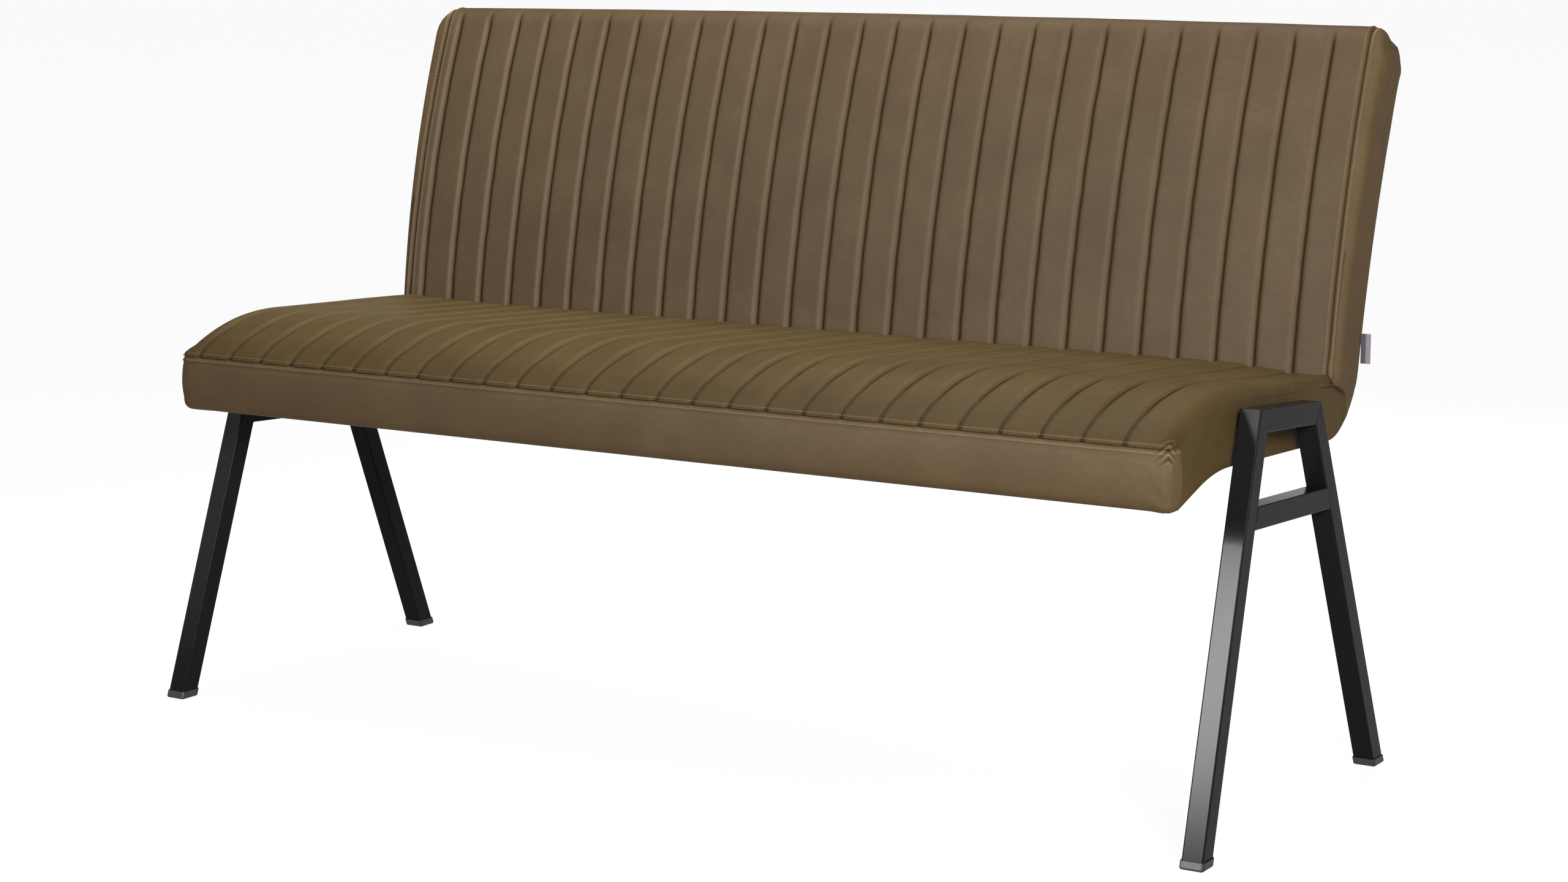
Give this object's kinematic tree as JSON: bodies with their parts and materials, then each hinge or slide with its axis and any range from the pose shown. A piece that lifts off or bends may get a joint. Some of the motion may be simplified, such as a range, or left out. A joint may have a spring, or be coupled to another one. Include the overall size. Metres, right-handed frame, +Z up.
{
  "type": "upholstered dining bench with back",
  "caption": "Upholstered dining bench: one-piece seat and curved back with vertical sewn channels, on black square-tube steel end frames with splayed A-shaped legs.",
  "frame": {"origin": "centre of the bench's outline on the floor, midway between its ends and between its front and rear", "axes": "+X along the bench to the sitter's left, which is the right end seen from the front; +Y from the seat's front to the back; +Z up"},
  "size_m": [1.5338, 0.6479, 0.914],
  "materials": {
    "olive_leather": "matte, sewn in channels",
    "black_powder_coat": "satin powder coat",
    "black_plastic": "matte",
    "plywood": "sanded, unfinished",
    "pine": "planed, unfinished",
    "elastic_webbing": "woven",
    "dust_fabric": "non-woven, matte",
    "tab_fabric": "woven, plain",
    "zinc_steel": "zinc plated"
  },
  "bodies": {
    "root": {"back_board": "plywood", "back_border_left": "olive_leather", "back_border_right": "olive_leather", "back_cushion": "olive_leather", "back_rear_pad": "olive_leather", "back_top_border": "olive_leather", "back_top_rail": "pine", "brace_left": "black_powder_coat", "brace_right": "black_powder_coat", "dust_cover": "dust_fabric", "end_former_left": "plywood", "end_former_right": "plywood", "frame_bolts": "zinc_steel", "frame_spacers": "zinc_steel", "frame_washers": "zinc_steel", "front_foot_cap_left": "black_plastic", "front_foot_cap_right": "black_plastic", "front_leg_left": "black_powder_coat", "front_leg_right": "black_powder_coat", "front_rail": "pine", "mid_former_left": "plywood", "mid_former_right": "plywood", "nose_roll": "olive_leather", "rail_screws": "zinc_steel", "rear_blocking": "pine", "rear_foot_cap_left": "black_plastic", "rear_foot_cap_right": "black_plastic", "rear_leg_left": "black_powder_coat", "rear_leg_right": "black_powder_coat", "rivet_nuts": "zinc_steel", "seam_tab": "tab_fabric", "seat_cushion": "olive_leather", "seat_end_pad_left": "olive_leather", "seat_end_pad_right": "olive_leather", "seat_webbing": "elastic_webbing", "top_bar_left": "black_powder_coat", "top_bar_right": "black_powder_coat"}
  },
  "joints": []
}
